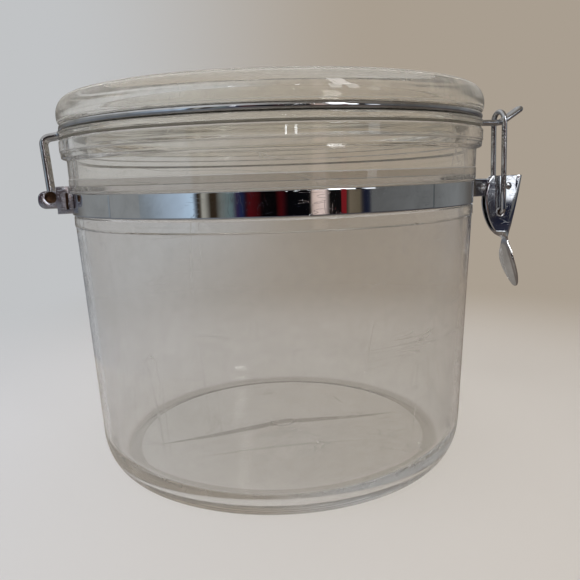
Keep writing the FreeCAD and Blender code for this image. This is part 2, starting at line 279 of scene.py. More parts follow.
def chrome(name, colour, dull, worn=0.5, base_rough=0.045, shade_in_groove=False):
    """Bright plating: smudges, fine scratches, faint ripple of the rolled metal."""
    material, n = new_material(name)
    place = n.add("ShaderNodeTexCoord").outputs["Object"]
    body = n.add("ShaderNodeBsdfPrincipled")
    body.inputs["Metallic"].default_value = 1.0
    smudge = n.step(n.noise(place, 60.0, 4.0, 0.6, 0.4), 0.38, 0.78)
    specks = n.step(n.noise(place, 900.0, 2.0, 0.6), 0.66, 0.74)
    tone = n.mix(n.math("MULTIPLY", smudge, 0.7), colour, dull)
    if shade_in_groove:
        # Painted shade where the wire ring lies in the lid's groove.
        tone = n.mix(n.math("MULTIPLY", painted_groove_shade(n, place), 0.85), tone, linear(52, 46, 40))
    n.link(tone, body.inputs["Base Color"])
    fine = n.hairlines(place, (90, 90, 420), (0.05, 0.03, 0), 0.010, 70.0, 0.10)
    cross = n.hairlines(place, (420, 300, 90), (0.3, 0.6, 0.2), 0.007, 60.0, 0.04)
    marks = n.math("MULTIPLY", n.math("MAXIMUM", fine, cross), worn)
    rough = n.math("ADD", n.math("MULTIPLY", smudge, 0.045), base_rough)
    rough = n.math("ADD", rough, n.math("MULTIPLY", specks, 0.10))
    n.link(n.math("ADD", rough, n.math("MULTIPLY", marks, 0.22)), body.inputs["Roughness"])
    ripple = n.noise(n.stretch(place, (1, 1, 0.4)), 55.0, 2.0)
    soft = n.bump(ripple, 0.25, 0.0003)
    n.link(n.bump(marks, 0.4, 0.00005, soft), body.inputs["Normal"])
    n.link(body.outputs[0], n.add("ShaderNodeOutputMaterial").inputs[0])
    return material


def silicone(name):
    """Frosted, slightly yellowed silicone with a faint lengthwise grain."""
    material, n = new_material(name)
    place = n.add("ShaderNodeTexCoord").outputs["Object"]
    body = n.add("ShaderNodeBsdfPrincipled")
    body.inputs["IOR"].default_value = 1.41
    body.inputs["Transmission Weight"].default_value = 0.75
    tone = n.noise(place, 40.0, 3.0)
    n.link(n.mix(tone, linear(184, 180, 170), linear(150, 144, 132)), body.inputs["Base Color"])
    grain = n.noise(n.stretch(place, (60, 60, 900)), 1.0, 2.0)
    n.link(n.math("ADD", n.math("MULTIPLY", grain, 0.3), 0.32), body.inputs["Roughness"])
    n.link(n.bump(grain, 0.3, 0.00008), body.inputs["Normal"])
    n.link(body.outputs[0], n.add("ShaderNodeOutputMaterial").inputs[0])
    return material


# ---------------------------------------------------------------- mesh helpers

def mesh_piece(name, verts, faces, material, flat_angle=None):
    """Smooth-shaded mesh object from points in millimetres."""
    mesh = bpy.data.meshes.new(name)
    mesh.from_pydata([Vector(v) * MM for v in verts], [], faces)
    mesh.validate()
    work = bmesh.new()
    work.from_mesh(mesh)
    bmesh.ops.recalc_face_normals(work, faces=work.faces)
    work.to_mesh(mesh)
    work.free()
    for face in mesh.polygons:
        face.use_smooth = True
    if flat_angle is not None:
        mesh.set_sharp_from_angle(angle=math.radians(flat_angle))
    mesh.materials.append(material)
    piece = bpy.data.objects.new(name, mesh)
    scene.collection.objects.link(piece)
    return piece


def add_loop_faces(faces, loops, closed_long=False, closed_round=True):
    """Quads between neighbouring loops of vertex numbers."""
    count = len(loops) if closed_long else len(loops) - 1
    for i in range(count):
        a = loops[i]
        b = loops[(i + 1) % len(loops)]
        last = len(a) if closed_round else len(a) - 1
        for k in range(last):
            m = (k + 1) % len(a)
            faces.append((a[k], a[m], b[m], b[k]))


def soften(corners, closed=True, steps=4, support=0.35):
    """Rounds every sharp corner of a profile of (x, y, radius) and keeps shading tight."""
    out = []
    count = len(corners)
    for i, (x, y, radius) in enumerate(corners):
        here = Vector((x, y))
        if radius <= 0 or (not closed and i in (0, count - 1)):
            out.append(here)
            continue
        back = Vector(corners[i - 1][:2]) - here
        ahead = Vector(corners[(i + 1) % count][:2]) - here
        room = 0.45 * min(back.length, ahead.length)
        half = back.angle(ahead) / 2
        reach = min(radius / math.tan(half), room)
        radius = reach * math.tan(half)
        a = here + back.normalized() * reach
        b = here + ahead.normalized() * reach
        centre = here + (back.normalized() + ahead.normalized()).normalized() * (radius / math.sin(half))
        start = math.atan2(a.y - centre.y, a.x - centre.x)
        sweep = math.atan2(b.y - centre.y, b.x - centre.x) - start
        sweep = (sweep + math.pi) % (2 * math.pi) - math.pi
        if back.length > 2 * reach + 2 * support:
            out.append(here + back.normalized() * (reach + support))
        for s in range(steps + 1):
            angle = start + sweep * s / steps
            out.append(centre + Vector((math.cos(angle), math.sin(angle))) * radius)
        if ahead.length > 2 * reach + 2 * support:
            out.append(here + ahead.normalized() * (reach + support))
    return out


def lathe(name, profile, angles, material, shape=None):
    """Closed profile of (radius, height) turned about Z; shape may move each point."""
    verts = []
    faces = []
    rings = []
    for point in profile:
        radius, height = point[0], point[1]
        if radius < 1e-6:
            verts.append((0, 0, height))
            rings.append([len(verts) - 1])
            continue
        ring = []
        for angle in angles:
            x, y, z = radius * math.cos(angle), radius * math.sin(angle), height
            if shape:
                x, y, z = shape(x, y, z, angle)
            verts.append((x, y, z))
            ring.append(len(verts) - 1)
        rings.append(ring)
    for i, ring in enumerate(rings):
        after = rings[(i + 1) % len(rings)]
        if len(ring) == 1 and len(after) == 1:
            continue
        for k in range(len(angles)):
            m = (k + 1) % len(angles)
            if len(ring) == 1:
                faces.append((ring[0], after[m], after[k]))
            elif len(after) == 1:
                faces.append((ring[k], ring[m], after[0]))
            else:
                faces.append((ring[k], ring[m], after[m], after[k]))
    return mesh_piece(name, verts, faces, material)


def even_angles(count):
    return [2 * math.pi * k / count for k in range(count)]


def rounded_path(points, radii, step=6.0):
    """Corner points joined by arcs; step is the turn in degrees between arc points."""
    path = [Vector(points[0])]
    for i in range(1, len(points) - 1):
        corner = Vector(points[i])
        back = (Vector(points[i - 1]) - corner).normalized()
        ahead = (Vector(points[i + 1]) - corner).normalized()
        half = back.angle(ahead) / 2
        reach = radii[i - 1] / math.tan(half)
        centre = corner + (back + ahead).normalized() * (radii[i - 1] / math.sin(half))
        a = corner + back * reach - centre
        b = corner + ahead * reach - centre
        turn = a.angle(b)
        count = max(3, round(math.degrees(turn) / step))
        for s in range(count + 1):
            t = s / count
            arm = (a * math.sin((1 - t) * turn) + b * math.sin(t * turn)) / math.sin(turn)
            path.append(centre + arm)
    path.append(Vector(points[-1]))
    return path


def arc_path(centre, a, middle_dir, b, count):
    """Points from a to b round centre, by way of the side that middle_dir points to."""
    arm_a, arm_b = a - centre, b - centre
    middle = middle_dir.normalized() * arm_a.length
    out = []
    for s in range(count + 1):
        t = s / count
        if t < 0.5:
            p, q, u = arm_a, middle, 2 * t
        else:
            p, q, u = middle, arm_b, 2 * t - 1
        turn = p.angle(q)
        out.append(centre + (p * math.sin((1 - u) * turn) + q * math.sin(u * turn)) / math.sin(turn))
    return out


def tube(name, path, radius, material, sides=28, cap=0.35):
    """Round wire along a path, with chamfered ends."""
    clean = [path[0]]
    for p in path[1:]:
        if (p - clean[-1]).length > 0.02:
            clean.append(p)
    tangents = []
    for i in range(len(clean)):
        before = clean[max(i - 1, 0)]
        after = clean[min(i + 1, len(clean) - 1)]
        tangents.append((after - before).normalized())
    side = tangents[0].orthogonal().normalized()
    verts = []
    loops = []

    def ring(centre, tangent, across, r):
        other = tangent.cross(across)
        loop = []
        for k in range(sides):
            angle = 2 * math.pi * k / sides
            verts.append(centre + across * (r * math.cos(angle)) + other * (r * math.sin(angle)))
            loop.append(len(verts) - 1)
        loops.append(loop)

    for share in (0.25, 0.7, 0.92):
        inset = cap * (1 - share)
        ring(clean[0] + tangents[0] * (cap - inset) * 0.6, tangents[0], side, radius - inset)
    for i in range(len(clean)):
        if i:
            turn = tangents[i - 1].rotation_difference(tangents[i])
            side = turn @ side
            side = (side - tangents[i] * side.dot(tangents[i])).normalized()
        centre = clean[i]
        if i == 0:
            centre = clean[0] + tangents[0] * cap
        if i == len(clean) - 1:
            centre = clean[-1] - tangents[-1] * cap
        ring(centre, tangents[i], side, radius)
    for share in (0.92, 0.7, 0.25):
        inset = cap * (1 - share)
        ring(clean[-1] - tangents[-1] * (cap - inset) * 0.6, tangents[-1], side, radius - inset)
    faces = []
    add_loop_faces(faces, loops)
    faces.append(tuple(loops[0]))
    faces.append(tuple(loops[-1]))
    return mesh_piece(name, verts, faces, material, 50)


def strip_section(thick, high, edge=0.3, steps=3):
    """Rounded rectangle, thick across and high up, as (across, up) from its centre."""
    edge = min(edge, high * 0.45)
    w, h = thick / 2 - edge, high / 2 - edge
    near = min(0.4, h * 0.3)
    out = []
    for cx, cy, start in ((w, h, 0), (-w, h, 90), (-w, -h, 180), (w, -h, 270)):
        if start in (0, 180):
            out.append((cx + math.copysign(edge, cx), cy - math.copysign(near, cy)))
        for k in range(steps + 1):
            a = math.radians(start + 90 * k / steps)
            out.append((cx + edge * math.cos(a), cy + edge * math.sin(a)))
        if start in (90, 270):
            out.append((cx + math.copysign(edge, cx), cy - math.copysign(near, cy)))
    return out


def strap(name, path, thick, heights, middle, material):
    """Flat strap on edge along a level path, with its own height at each path point."""
    verts = []
    loops = []
    for i, p in enumerate(path):
        before = path[max(i - 1, 0)]
        after = path[min(i + 1, len(path) - 1)]
        along = (after - before).normalized()
        out = Vector((along.y, -along.x, 0))
        loop = []
        for across, up in strip_section(thick, heights[i], min(0.3, thick * 0.4)):
            verts.append(p + out * across + Vector((0, 0, middle + up)))
            loop.append(len(verts) - 1)
        loops.append(loop)
    faces = []
    add_loop_faces(faces, loops)
    faces.append(tuple(loops[0]))
    faces.append(tuple(loops[-1]))
    return mesh_piece(name, verts, faces, material, 40)


def bevelled(piece, width, angle=32, segments=2):
    """Applies a small bevel to the piece's sharp edges."""
    bevel = piece.modifiers.new("edge", "BEVEL")
    bevel.width = width * MM
    bevel.segments = segments
    bevel.limit_method = "ANGLE"
    bevel.angle_limit = math.radians(angle)
    bevel.harden_normals = False
    graph = bpy.context.evaluated_depsgraph_get()
    mesh = bpy.data.meshes.new_from_object(piece.evaluated_get(graph))
    piece.modifiers.clear()
    piece.data = mesh
    for face in mesh.polygons:
        face.use_smooth = True
    mesh.set_sharp_from_angle(angle=math.radians(angle))
    return piece


def plate(name, outline, holes, y0, y1, material):
    """Flat plate with holes from (x, z) loops, between two distances from the middle plane."""
    work = bmesh.new()
    edges = []
    for loop in [outline] + holes:
        ring = [work.verts.new((x * MM, y0 * MM, z * MM)) for x, z in loop]
        for k in range(len(ring)):
            edges.append(work.edges.new((ring[k], ring[(k + 1) % len(ring)])))
    filled = bmesh.ops.triangle_fill(work, use_beauty=True, edges=edges)
    skin = [g for g in filled["geom"] if isinstance(g, bmesh.types.BMFace)]
    moved = bmesh.ops.extrude_face_region(work, geom=skin)
    top = [g for g in moved["geom"] if isinstance(g, bmesh.types.BMVert)]
    bmesh.ops.translate(work, verts=top, vec=(0, (y1 - y0) * MM, 0))
    bmesh.ops.recalc_face_normals(work, faces=work.faces)
    bmesh.ops.dissolve_limit(work, angle_limit=0.01, verts=work.verts, edges=work.edges)
    mesh = bpy.data.meshes.new(name)
    work.to_mesh(mesh)
    work.free()
    mesh.materials.append(material)
    piece = bpy.data.objects.new(name, mesh)
    scene.collection.objects.link(piece)
    return piece


def circle_xz(cx, cz, radius, count=32):
    return [(cx + radius * math.cos(2 * math.pi * k / count),
             cz + radius * math.sin(2 * math.pi * k / count)) for k in range(count)]


def arc_xz(cx, cz, radius, start, end, count=8):
    out = []
    for k in range(count + 1):
        a = math.radians(start + (end - start) * k / count)
        out.append((cx + radius * math.cos(a), cz + radius * math.sin(a)))
    return out


def turned_y(name, profile, x, z, side, material, count=40, shape=None):
    """Open profile of (radius, distance from the middle plane) turned about an axis along Y."""
    verts = []
    loops = []
    tip = None
    for radius, away in profile:
        if radius < 1e-6:
            verts.append((x, side * away, z))
            tip = len(verts) - 1
            continue
        loop = []
        for k in range(count):
            a = 2 * math.pi * k / count
            r, d = shape(radius, away, a) if shape else (radius, away)
            verts.append((x + r * math.cos(a), side * d, z + r * math.sin(a)))
            loop.append(len(verts) - 1)
        loops.append(loop)
    faces = []
    add_loop_faces(faces, loops)
    if tip is not None:
        last = loops[-1]
        for k in range(count):
            faces.append((last[k], last[(k + 1) % count], tip))
    return mesh_piece(name, verts, faces, material, 50)


def joined(name, pieces):
    """The pieces as one object, each keeping its own closed surface."""
    work = bmesh.new()
    for piece in pieces:
        work.from_mesh(piece.data)
    mesh = bpy.data.meshes.new(name)
    work.to_mesh(mesh)
    work.free()
    for material in pieces[0].data.materials:
        mesh.materials.append(material)
    for piece in pieces:
        bpy.data.objects.remove(piece)
    whole = bpy.data.objects.new(name, mesh)
    scene.collection.objects.link(whole)
    return whole


def hand_over(piece, body, slot, *nodes):
    """Puts a piece on its body in place of CAD nodes."""
    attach(piece, body)
    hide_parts(*nodes)
    return piece


# ---------------------------------------------------------------- jar, lid, gasket

def curve(cr, cz, wide, high, start, end, count):
    """Profile points along part of an ellipse, angles in degrees."""
    out = []
    for k in range(count + 1):
        a = math.radians(start + (end - start) * k / count)
        out.append((cr + wide * math.cos(a), cz + high * math.sin(a), 0))
    return out


def straight(start, end, count):
    """Profile points between two points, without the ends."""
    out = []
    for k in range(1, count):
        t = k / count
        out.append((start[0] + (end[0] - start[0]) * t, start[1] + (end[1] - start[1]) * t, 0))
    return out


def floor_height(r):
    """Top of the jar's floor, which rises towards its middle."""
    return 5.0 + 3.6 * (1 - r / 70.0) ** 1.7


def jar_profile():
    foot = curve(80.2, 19.0, 11.4, 19.0, -90, -5, 22)
    fillet = curve(74.5, 19.0, 14.0, 14.0, 0, -90, 20)
    points = [(0, 0, 0), (60, 0, 0)] + foot
    points += straight(foot[-1], (96.1, 117.0), 6)
    points += [(96.1, 117.0, 0), (96.1, 117.6, 0), (96.2, 117.9, 0.1), (96.5, 118.3, 0.2), (96.5, 118.8, 0)]
    points += [(96.5, 121.8, 0), (96.5, 122.4, 0.4), (95.7, 122.9, 0.15), (95.6, 123.3, 0.15)]
    points += [(95.6, 133.2, 0.2), (96.9, 133.4, 0.3), (97.6, 134.1, 0.4), (97.6, 138.9, 0.1)]
    points += [(97.35, 139.2, 0.1), (97.6, 147.2, 0.5)]
    points += [(98.1, 147.8, 0.3), (99.2, 148.0, 0.4), (99.9, 148.5, 0.4), (100.1, 151.0, 0.1)]
    points += [(100.4, 151.3, 0.1), (100.4, 155.7, 0.4), (99.8, 156.3, 0.4)]
    points += [(95.0, 156.3, 0.4), (94.4, 155.7, 0.4), (94.4, 136.0, 1.0), (92.9, 132.5, 1.0)]
    points += [(92.9, 131.0, 0), (92.9, 124.0, 0), (92.85, 118.0, 0), (92.6, 112.0, 0)]
    points += straight((92.6, 112.0), fillet[0], 6) + fillet
    points += [(74.2, 4.9, 0), (73.8, 4.9, 0)]
    points += [(r, floor_height(r), 0) for r in range(68, 7, -4)]
    edge = floor_height(5.9)
    points += [(6.3, floor_height(6.3), 0.15), (5.9, edge + 0.35, 0.2), (1.6, edge + 0.35, 0.1)]
    points += [(1.4, edge + 0.2, 0.1), (0, edge + 0.2, 0)]
    return soften(points, True, 4)


def lid_profile():
    points = [(88.8, 157.4, 0.2), (99.7, 157.4, 0.3), (100.1, 157.8, 0.3), (100.1, 158.7, 0.1)]
    points += [(100.4, 159.0, 0.1), (100.4, 159.6, 0.2), (99.9, 159.95, 0.1)]
    points += curve(98.45, 161.6, 1.7, 1.7, -75, -285, 12)
    points += [(99.5, 163.45, 0.15)] + curve(94.5, 167.0, 6.1, 8.0, -20, 90, 20)
    points += [(92.4, 175.0, 0.6), (91.2, 174.3, 0), (90.3, 173.3, 0), (89.2, 173.0, 0.3)]
    points += [(7.2, 173.0, 0.2), (7.0, 173.2, 0.15), (1.5, 173.2, 0.1), (1.3, 173.0, 0.1), (0, 173.0, 0)]
    points += [(0, 170.2, 0), (89.0, 170.2, 0.8), (91.5, 169.2, 0), (92.8, 167.2, 0), (93.0, 165.0, 0.5)]
    points += [(93.0, 160.6, 0.4), (86.6, 160.4, 0.4), (86.2, 153.8, 0.3), (86.6, 153.4, 0.3)]
    points += [(88.3, 153.4, 0.3), (88.8, 153.9, 0.3)]
    return soften(points, True, 4)


def lid_angles():
    """Even steps, with extra ones close to both ends of the hinge notch."""
    half = math.asin(13.7 / 96.5)
    angles = [a for a in even_angles(288) if abs(abs(a - math.pi) - half) > 0.008]
    for side in (-1, 1):
        for shift in (-0.004, -0.001, 0.001, 0.004):
            angles.append(math.pi + side * half + shift)
    return sorted(angles)


def hinge_notch(x, y, z, angle):
    """Takes the lid's lip back to a flat behind the hinge legs."""
    half = math.asin(13.7 / 96.5)
    if abs(angle - math.pi) < half and x < -95.8 and z < 163.2:
        x = -95.8
    return x, y, z


# The ledge heights of the jar and the lid get painted highlight lines.
plastic_jar = clear_plastic("clear_plastic_jar", linear(242, 241, 240), linear(238, 237, 235),
                            painted_floor_and_neck_light=True, sheen_ledges=(0.1513, 0.1391, 0.1337))
plastic_lid = clear_plastic("clear_plastic_lid", linear(253, 251, 247), linear(250, 248, 240), 0.13,
                            sheen_ledges=(0.1736, 0.1641), ior=1.42, dust_and_sheen_tone=(206, 204, 199))
jar = lathe("jar_shell", jar_profile(), even_angles(288), plastic_jar)
lid = lathe("lid_shell", lid_profile(), lid_angles(), plastic_lid, hinge_notch)
ring_profile = soften([(89.4, 156.4, 0.25), (99.3, 156.4, 0.3), (99.3, 157.4, 0.3), (89.4, 157.4, 0.25)])
gasket = lathe("seal_ring", ring_profile, even_angles(240), silicone("silicone_seal"))
hand_over(jar, "canister", "clear_plastic", "jar")
hand_over(lid, "lid", "clear_plastic", "lid")
hand_over(gasket, "lid", "gasket", "gasket")


# ---------------------------------------------------------------- wires

def mirrored(path):
    return [Vector((p.x, -p.y, p.z)) for p in reversed(path)]


def lid_wire_path():
    ring_r, ring_z = 98.45, 161.6
    a0, a1 = math.radians(190), math.radians(354)
    s = Vector((ring_r * math.cos(a0), ring_r * math.sin(a0), ring_z))
    s_dir = Vector((math.sin(a0), -math.cos(a0), 0))
    e = Vector((ring_r * math.cos(a1), ring_r * math.sin(a1), ring_z))
    e_dir = Vector((-math.sin(a1), math.cos(a1), 0))
    hook_y = -1.6
    slope = math.radians(31.5)
    tip = Vector((141.9, 0, 170.4))
    turn = Vector((tip.x - 1.6 * math.cos(slope), hook_y, tip.z - 1.6 * math.sin(slope)))
    hinge = [(-105.5, -6.9, 131.5), (-105.5, -4.6, 131.5), (-107.05, -4.6, 157.6),
             (-98.8, -4.6, 159.15), s + s_dir * 4.5, s]
    near = rounded_path(hinge, [2.0, 3.2, 3.0, 8.0])
    for k in range(1, 124):
        a = a0 + (a1 - a0) * k / 124
        near.append(Vector((ring_r * math.cos(a), ring_r * math.sin(a), ring_z)))
    reach = (hook_y - e.y) / e_dir.y
    hook = [e, e + e_dir * reach, (103.2, hook_y, ring_z), (109.5, hook_y, 162.9),
            (129.7, hook_y, 162.9), turn]
    near += rounded_path(hook, [2.8, 8.0, 8.0, 4.5])
    centre = Vector((turn.x, 0, turn.z))
    hairpin = arc_path(centre, turn, tip - centre, Vector((turn.x, -turn.y, turn.z)), 16)
    return near + hairpin[1:-1] + mirrored(near)


def bail_path():
    foot = Vector((130.0, -4.95, 114.2))
    top = Vector((129.2, -4.95, 163.7))
    up = Vector((-0.8, 0, 49.5)).normalized()
    near = rounded_path([(130.0, -1.1, 114.2), foot, top], [1.9])
    centre = Vector((129.2, 0, 163.7))
    arch = arc_path(centre, top, up, Vector((129.2, 4.95, 163.7)), 24)
    return near + arch[1:-1] + mirrored(near)


satin_metal = chrome("satin_stamping", linear(214, 216, 226), linear(172, 174, 184), 0.6, 0.24)
# Rust-brown plating: real rust on the hinge seats, and painted shade in the slots and holes.
rust_and_shade_metal = chrome("rust_and_painted_shade", linear(78, 58, 44), linear(30, 22, 18), 0.6, 0.42)
# The wire's plating carries painted shade along the ring's edges in the groove.
wire_metal = chrome("plated_wire", linear(198, 200, 204), linear(140, 134, 128), 0.6, shade_in_groove=True)
strap_metal = chrome("plated_strap", linear(214, 216, 219), linear(186, 187, 188), 0.2, 0.03)
stamped_metal = chrome("plated_stamping", linear(218, 219, 222), linear(176, 176, 178), 0.35)

lid_wire = tube("lid_wire_bent", lid_wire_path(), 1.55, wire_metal)
bail = tube("bail_loop", bail_path(), 1.45, wire_metal)
hand_over(lid_wire, "lid", "wire", "lid_wire")
hand_over(bail, "bail", "wire", "bail")


# ---------------------------------------------------------------- neck band

def band_path():
    """Level centre line: ear end, bend, round the neck, bend, other ear end."""
    mid, bend_r, lift = 96.05, 18.0, 0.42
    angle = math.asin((lift + bend_r) / (mid + bend_r))
    cx = (mid + bend_r) * math.cos(angle)
    cy = lift + bend_r
    full = math.pi / 2 - angle
    end_x = 139.7
    near = []
    for k in range(13):
        near.append(Vector((end_x - 4.9 * (1 - math.cos(math.pi / 2 * k / 12)), -lift, 0)))
    near[0].x = end_x - 0.01
    for x in (131.0, 127.0, 123.0, 119.0, 115.0, cx + 0.5):
        near.append(Vector((x, -lift, 0)))
    for k in range(19):
        a = full * k / 18
        near.append(Vector((cx - bend_r * math.sin(a), -cy + bend_r * math.cos(a), 0)))
    ring = []
    for k in range(1, 160):
        a = -angle - (math.pi - angle) * k / 160
        ring.append(Vector((mid * math.cos(a), mid * math.sin(a), 0)))
    half = near + ring
    return half + [Vector((-mid, 0, 0))] + mirrored(half)


def band_heights(path):
    """Full height, tapering to a round end at each ear."""
    out = []
    for p in path:
        from_centre = p.x - 134.8
        if from_centre > 0 and abs(p.y) < 1:
            out.append(2 * math.sqrt(max(4.9 ** 2 - from_centre ** 2, 0.12)))
        else:
            out.append(9.8)
    return out


path = band_path()
band = strap("neck_band_strap", path, 0.8, band_heights(path), 128.1, strap_metal)
hand_over(band, "canister", "band", "neck_band")


# ---------------------------------------------------------------- hinge bracket

def bracket_cheek(side):
    """Root plate with its slot, and the rounded ear with a countersunk bore."""
    y0, y1 = side * 6.55, side * 8.05
    root = [(-96.15, 124.0), (-96.15, 133.25), (-97.85, 133.25), (-97.85, 136.2), (-103.1, 136.2),
            (-103.1, 124.0)]
    slot = [(-99.3, 126.0), (-99.3, 133.2), (-98.1, 133.2), (-98.1, 126.0)]
    foot = plate("root", root, [slot], min(y0, y1 + side * 0.25), max(y0, y1 + side * 0.25), satin_metal)
    ear = [(-102.0, 134.5)] + arc_xz(-107.6, 131.1, 3.4, 90, 180)
    ear += arc_xz(-107.6, 129.9, 3.4, 180, 270) + [(-102.0, 126.5)]
    wing = plate("ear", ear, [circle_xz(-105.5, 131.5, 2.6)], min(y0, y1), max(y0, y1), satin_metal)
    return [bevelled(foot, 0.28), bevelled(wing, 0.28)]


def hinge_seat(side):
    """Countersunk, rust-stained seat of one wire end."""
    seat = [(2.62, 8.05), (1.85, 7.35), (1.2, 7.1), (0.5, 7.05), (0, 7.05)]
    return turned_y("seat", seat, -105.5, 131.5, side, rust_and_shade_metal)


def slot_shadow(side):
    """Dark strip behind the slot in the cheek's root: a painted shadow in the slot."""
    outline = [(-99.4, 125.9), (-99.4, 133.3), (-98.0, 133.3), (-98.0, 125.9)]
    return plate("slot", outline, [], min(side * 6.6, side * 7.0), max(side * 6.6, side * 7.0), rust_and_shade_metal)


def saddle():
    half = math.radians(33.5)
    path = []
    steps = 96
    for k in range(steps + 1):
        a = math.pi - half + 2 * half * k / steps
        from_end = min(k, steps - k)
        radius = 96.75 - 0.53 * max(0.0, 1 - from_end / 3) ** 2
        path.append(Vector((radius * math.cos(a), radius * math.sin(a), 0)))
    heights = [9.4] * len(path)
    heights[0] = heights[-1] = 9.1
    return strap("saddle", path, 0.58, heights, 128.1, strap_metal)


def band_lap():
    """Where the band's end lies over itself, towards the latch."""
    start, end = math.radians(-64), math.radians(-14)
    path = []
    steps = 80
    for k in range(steps + 1):
        a = start + (end - start) * k / steps
        rise = 0.02 if k == 0 else 0.10
        radius = 96.45 + rise * max(0.0, 1 - max(0, k - 60) / 20)
        path.append(Vector((radius * math.cos(a), radius * math.sin(a), 0)))
    return strap("band_lap", path, 0.3, [9.75] * len(path), 128.1, strap_metal)


bracket = joined("hinge_bracket_plates", bracket_cheek(-1) + bracket_cheek(1))
hand_over(bracket, "canister", "band", "hinge_bracket")
# The rust-stained seats, joined with the dark strips that paint shade in the slots.
seat_pieces_and_slot_shadows = joined("hinge_seats_and_slot_shadows", [make(side) for side in (-1, 1) for make in (hinge_seat, slot_shadow)])
for extra in (saddle(), band_lap(), seat_pieces_and_slot_shadows):
    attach(extra, "canister")


# ---------------------------------------------------------------- rivets

def domed_rivet(name, x, z, face, head_r, head_h, shank):
    profile = [(shank, -0.0), (shank, face), (head_r - 0.1, face), (head_r, face + 0.12)]
    for k in range(9):
        a = math.radians(90 * k / 8)
        profile.append((head_r * math.cos(a) * 0.985 + 0.001, face + 0.25 + (head_h - 0.25) * math.sin(a)))
    profile[-1] = (0, face + head_h)
    return joined(name, [turned_y("half", profile, x, z, side, wire_metal) for side in (-1, 1)])


def rolled_rivet(name, x, z, face):
    """Hollow rivet with its end rolled over in a small star."""
    def star(radius, away, angle):
        lobe = math.cos(5 * angle + 0.4)
        push = 1 + (0.10 * lobe if radius > 1.0 else 0.0)
        return radius * push, away + (0.12 * lobe if 0.4 < radius < 1.7 else 0.0)
    profile = [(1.2, 0.0), (1.2, face), (1.7, face), (1.85, face + 0.18), (1.8, face + 0.38),
               (1.55, face + 0.58), (1.2, face + 0.68), (0.9, face + 0.6), (0.7, face + 0.4),
               (0.55, face + 0.1), (0.3, face + 0.02), (0, face)]
    halves = [turned_y("half", profile, x, z, side, wire_metal, 60, star) for side in (-1, 1)]
    return joined(name, halves)


clamp_rivet = rolled_rivet("clamp_rivet_rolled", 119.7, 128.2, 0.82)
pivot_rivet = domed_rivet("pivot_rivet_domed", 134.8, 128.5, 2.2, 1.95, 0.9, 1.30)
hand_over(clamp_rivet, "canister", "wire", "clamp_rivet")
hand_over(pivot_rivet, "canister", "wire", "pivot_rivet")


# ---------------------------------------------------------------- lever

def between(table, value):
    """Smooth value from a falling table of (height, value), by monotone cubic steps."""
    if value >= table[0][0]:
        return table[0][1]
    if value <= table[-1][0]:
        return table[-1][1]
    for i in range(len(table) - 1):
        z0, v0 = table[i]
        z1, v1 = table[i + 1]
        if z0 >= value >= z1:
            zp, vp = table[max(i - 1, 0)]
            zn, vn = table[min(i + 2, len(table) - 1)]
            m0 = (v1 - vp) / (z1 - zp)
            m1 = (vn - v0) / (zn - z0)
            h = z1 - z0
            t = (value - z0) / h
            return ((2 * t ** 3 - 3 * t ** 2 + 1) * v0 + (t ** 3 - 2 * t ** 2 + t) * h * m0
                    + (3 * t ** 2 - 2 * t ** 3) * v1 + (t ** 3 - t ** 2) * h * m1)


def lever_grid():
    """Middle surface of the folded sheet: channel above, leaf-shaped tab below."""
    left = [(134.3, 125.2), (132.0, 123.0), (128.4, 121.9), (124.0, 121.0), (120.0, 120.8),
            (115.6, 121.5), (110.0, 123.3), (104.9, 126.2), (101.2, 129.9), (98.6, 133.2)]
    back = [(134.3, 143.3), (127.5, 142.1), (117.5, 140.0), (107.5, 137.7), (101.5, 135.9),
            (98.5, 135.1), (94.5, 135.7), (88.5, 137.35), (84.0, 138.9), (79.2, 140.5),
            (74.8, 141.8), (70.9, 142.8)]
    leaf = [(101.2, 2.3), (98.5, 2.5), (94.5, 4.2), (89.5, 6.2), (84.5, 6.8), (79.5, 6.1),
            (74.8, 4.2), (72.0, 2.4), (70.9, 0.9)]
    rows = []
    count = 74
    for i in range(count + 1):
        z = 134.3 + (70.9 - 134.3) * i / count
        web = between(back, z)
        fold = 1.0 if z > 103 else max(0.0, (z - 97.0) / 6.0)
        fold = fold * fold * (3 - 2 * fold)
        depth = max(web - between(left, z), 0.0) if z > 98.6 else 0.0
        flat = 1.85 - 0.85
        bend_r = 0.85
        channel = flat + bend_r * math.pi / 2 + max(depth - bend_r, 0.0)
        width = between(leaf, z)
        half = width + (channel - width) * fold
        dish = 0.055 * (1 - fold) * min(1.0, (98.5 - z) / 8.0) if z < 98.5 else 0.0
        row = []
        columns = 26
        for c in range(-columns, columns + 1):
            s = abs(c) / columns
            s = half * s
            if fold > 0.001:
                turn = min(max(s - flat, 0.0) / bend_r, math.pi / 2) * fold
                radius = bend_r / fold
                y = min(s, flat) + radius * math.sin(turn)
                x = -radius * (1 - math.cos(turn))
                over = max(s - flat - bend_r * math.pi / 2, 0.0)
                x -= over * math.sin(fold * math.pi / 2)
                y += over * math.cos(fold * math.pi / 2)
            else:
                y, x = s, 0.0
            x -= dish * y * y * 0.55
            climb = max(z - 105.0, 0.0) / 29.0
            cheek = min(1.0, max(0.0, s - flat - bend_r) / 2.0) * fold
            y += cheek * (0.30 - 0.63 * climb * climb)
            row.append(Vector((web + x, y if c > 0 else -y, z)))
        rows.append(row)
    return rows


def lever_sheet():
    """The folded sheet with its thickness and rounded edges."""
    rows = lever_grid()
    verts = []
    loops = []
    for row in rows:
        loop = []
        for p in row:
            verts.append(p)
            loop.append(len(verts) - 1)
        loops.append(loop)
    faces = []
    add_loop_faces(faces, loops, closed_round=False)
    sheet = mesh_piece("sheet", verts, faces, stamped_metal)
    thick = sheet.modifiers.new("thickness", "SOLIDIFY")
    thick.thickness = 1.0 * MM
    thick.offset = 0.0
    thick.use_even_offset = True
    return bevelled(sheet, 0.3, 50, 3)


